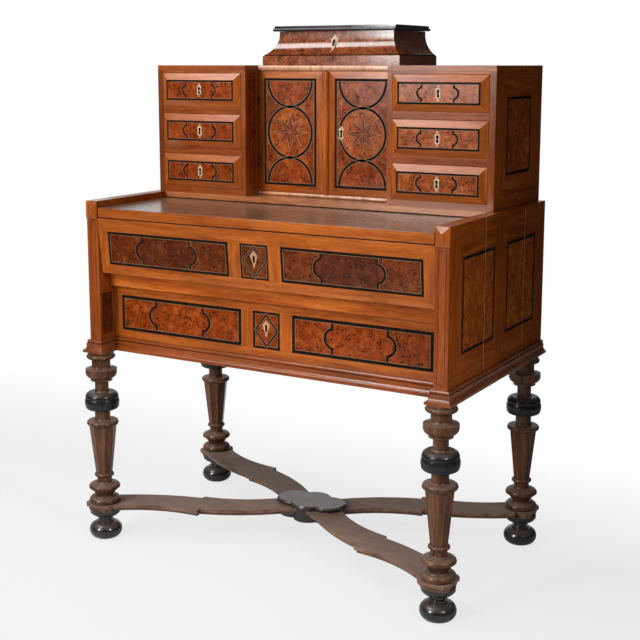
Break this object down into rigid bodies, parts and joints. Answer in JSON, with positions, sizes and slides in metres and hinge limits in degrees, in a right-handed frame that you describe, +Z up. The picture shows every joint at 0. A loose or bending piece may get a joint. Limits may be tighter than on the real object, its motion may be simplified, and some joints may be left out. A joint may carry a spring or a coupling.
{
  "type": "writing desk with drawer superstructure",
  "caption": "Baroque walnut writing desk on turned legs with an X stretcher, long drawers, a pull-out board, a superstructure of small drawers round a cupboard, and a lidded casket on top.",
  "frame": {"origin": "on the floor, in the middle of the desk's box", "axes": "+Z up, +Y to the back, +X to the viewer's right from the front"},
  "size_m": [0.9658, 0.5643, 1.2223],
  "materials": {
    "walnut": "French-polished walnut with burl inlay",
    "walnut_dark": "waxed dark walnut",
    "board": "glossy polished walnut",
    "ebonised": "ebonised, polished black",
    "oak": "plain old oak, unpolished",
    "bone": "aged bone",
    "iron": "dark wrought iron"
  },
  "bodies": {
    "frame": {"base_moulding_front": "walnut", "base_moulding_sides": "walnut", "bun_feet": "ebonised", "case_back": "oak", "case_bottom": "oak", "casket_escutcheon": "bone", "casket_plinth": "walnut_dark", "casket_walls": "walnut_dark", "cheek_left": "walnut", "cheek_right": "walnut", "cupboard_floor": "walnut", "fixed_hinge_leaves": "iron", "hinge_pins": "iron", "leg_back_left": "walnut_dark", "leg_back_right": "walnut_dark", "leg_balls": "ebonised", "leg_capitals": "walnut_dark", "leg_front_left": "walnut_dark", "leg_front_right": "walnut_dark", "middle_rail": "walnut", "partitions": "walnut", "post_caps": "walnut", "posts": "walnut", "rear_top": "board", "runners": "oak", "stack_shelves": "walnut", "stretcher_boss": "ebonised", "stretcher_left": "walnut_dark", "stretcher_right": "walnut_dark", "upper_back": "oak", "upper_side_left": "walnut", "upper_side_right": "walnut", "upper_top": "walnut"},
    "casket_lid": {"casket_lid": "ebonised", "casket_lid_hinge_leaves": "iron"},
    "door_right": {"door_escutcheon": "bone", "door_right": "walnut", "door_right_hinge_leaves": "iron", "door_strip": "walnut"},
    "door_left": {"door_left": "walnut", "door_left_hinge_leaves": "iron"},
    "lower_drawer": {"lower_drawer_box": "oak", "lower_drawer_escutcheon": "bone", "lower_drawer_front": "walnut"},
    "small_drawer_left_bottom": {"small_drawer_left_bottom_box": "oak", "small_drawer_left_bottom_front": "walnut"},
    "small_drawer_left_middle": {"small_drawer_left_middle_box": "oak", "small_drawer_left_middle_front": "walnut"},
    "small_drawer_left_top": {"small_drawer_left_top_box": "oak", "small_drawer_left_top_front": "walnut"},
    "small_drawer_right_bottom": {"small_drawer_right_bottom_box": "oak", "small_drawer_right_bottom_front": "walnut"},
    "small_drawer_right_middle": {"small_drawer_right_middle_box": "oak", "small_drawer_right_middle_front": "walnut"},
    "small_drawer_right_top": {"small_drawer_right_top_box": "oak", "small_drawer_right_top_front": "walnut"},
    "upper_drawer": {"upper_drawer_box": "oak", "upper_drawer_escutcheon": "bone", "upper_drawer_front": "walnut"},
    "writing_board": {"writing_board": "board"}
  },
  "joints": [
    {"name": "writing_board_slide", "type": "slide", "parent": "frame", "child": "writing_board", "axis": [0, -1, 0], "range_m": [0, 0.18]},
    {"name": "upper_drawer_slide", "type": "slide", "parent": "frame", "child": "upper_drawer", "axis": [0, -1, 0], "range_m": [0, 0.3]},
    {"name": "lower_drawer_slide", "type": "slide", "parent": "frame", "child": "lower_drawer", "axis": [0, -1, 0], "range_m": [0, 0.28]},
    {"name": "small_drawer_left_bottom_slide", "type": "slide", "parent": "frame", "child": "small_drawer_left_bottom", "axis": [0, -1, 0], "range_m": [0, 0.17]},
    {"name": "small_drawer_left_middle_slide", "type": "slide", "parent": "frame", "child": "small_drawer_left_middle", "axis": [0, -1, 0], "range_m": [0, 0.17]},
    {"name": "small_drawer_left_top_slide", "type": "slide", "parent": "frame", "child": "small_drawer_left_top", "axis": [0, -1, 0], "range_m": [0, 0.17]},
    {"name": "small_drawer_right_bottom_slide", "type": "slide", "parent": "frame", "child": "small_drawer_right_bottom", "axis": [0, -1, 0], "range_m": [0, 0.17]},
    {"name": "small_drawer_right_middle_slide", "type": "slide", "parent": "frame", "child": "small_drawer_right_middle", "axis": [0, -1, 0], "range_m": [0, 0.17]},
    {"name": "small_drawer_right_top_slide", "type": "slide", "parent": "frame", "child": "small_drawer_right_top", "axis": [0, -1, 0], "range_m": [0, 0.17]},
    {"name": "door_left_hinge", "type": "hinge", "parent": "frame", "child": "door_left", "pos_m": [-0.18495, 0.0602, 0.97375], "axis": [0, 0, -1], "range_deg": [0, 90]},
    {"name": "door_right_hinge", "type": "hinge", "parent": "frame", "child": "door_right", "pos_m": [0.18495, 0.0602, 0.97375], "axis": [0, 0, 1], "range_deg": [0, 90]},
    {"name": "casket_lid_hinge", "type": "hinge", "parent": "frame", "child": "casket_lid", "pos_m": [0, 0.2753, 1.20965], "axis": [-1, 0, 0], "range_deg": [0, 100]}
  ]
}
